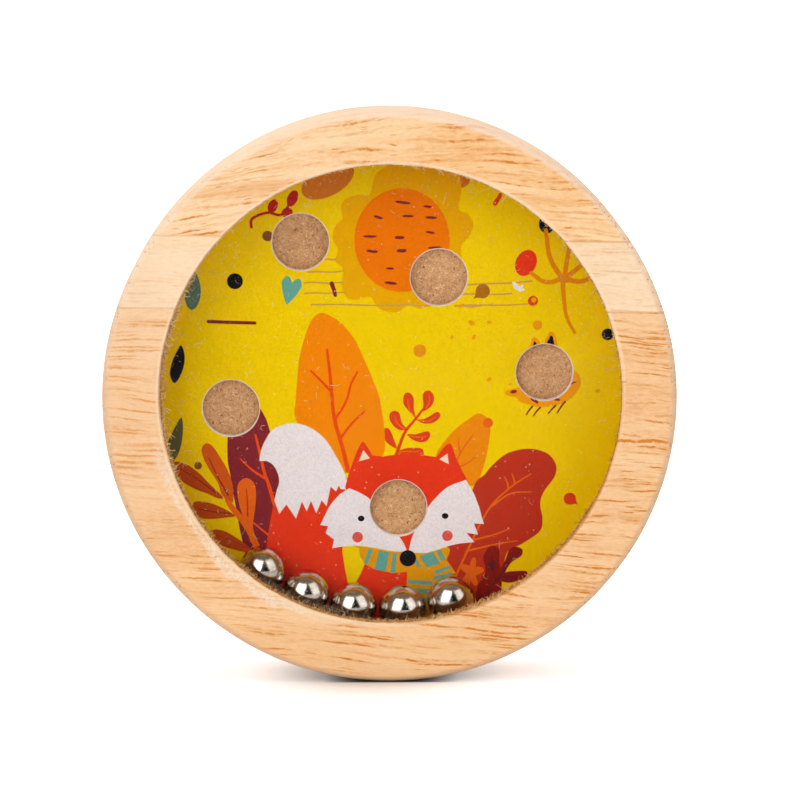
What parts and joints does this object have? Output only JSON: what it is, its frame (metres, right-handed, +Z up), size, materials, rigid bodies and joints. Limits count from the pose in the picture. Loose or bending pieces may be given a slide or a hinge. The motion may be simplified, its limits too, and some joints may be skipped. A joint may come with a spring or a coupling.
{
  "type": "tilt ball game",
  "caption": "Round wooden hand-held tilt game: a ring frame with a clear window over a printed card with punched holes, and loose steel balls to roll into them.",
  "frame": {"origin": "centre of the disc, half way through its depth", "axes": "+Y is the disc's axis, from the window to the back; the window faces -Y; +Z up as the toy stands on its rim; +X to the right seen from the front"},
  "size_m": [0.095, 0.018, 0.095],
  "materials": {
    "wood_top": "sanded, bare light hardwood, flecked curved grain",
    "wood_middle": "sanded, bare light hardwood, paler stave",
    "wood_bottom": "sanded, bare light hardwood, fine long pores",
    "window": "clear acrylic, polished faces",
    "play_card": "offset print on white card, satin",
    "fibreboard": "raw fibreboard, matt",
    "steel": "polished steel, lightly scuffed"
  },
  "bodies": {
    "case": {"ring_top_stave": "wood_top", "ring_left_stave": "wood_middle", "ring_right_stave": "wood_middle", "ring_bottom_stave": "wood_bottom", "window": "window", "play_card": "play_card", "back_board": "fibreboard"},
    "ball_1": {"ball_1": "steel"},
    "ball_2": {"ball_2": "steel"},
    "ball_3": {"ball_3": "steel"},
    "ball_4": {"ball_4": "steel"},
    "ball_5": {"ball_5": "steel"}
  },
  "joints": [
    {"name": "ball_1_path", "type": "slide", "parent": "case", "child": "ball_1", "axis": [-0.1934, 0, 0.9811], "range_m": [0, 0.02731]},
    {"name": "ball_2_path", "type": "hinge", "parent": "case", "child": "ball_2", "pos_m": [-0.10658, 0, -0.00572], "axis": [0, -1, 0], "range_deg": [0, 35.45]},
    {"name": "ball_3_path", "type": "hinge", "parent": "case", "child": "ball_3", "pos_m": [0.16272, 0, -0.05106], "axis": [0, 1, 0], "range_deg": [0, 19.39]},
    {"name": "ball_4_path", "type": "slide", "parent": "case", "child": "ball_4", "axis": [-0.0374, 0, 0.9993], "range_m": [0, 0.01645]},
    {"name": "ball_5_path", "type": "slide", "parent": "case", "child": "ball_5", "axis": [0.3832, 0, 0.9236], "range_m": [0, 0.04125]}
  ]
}
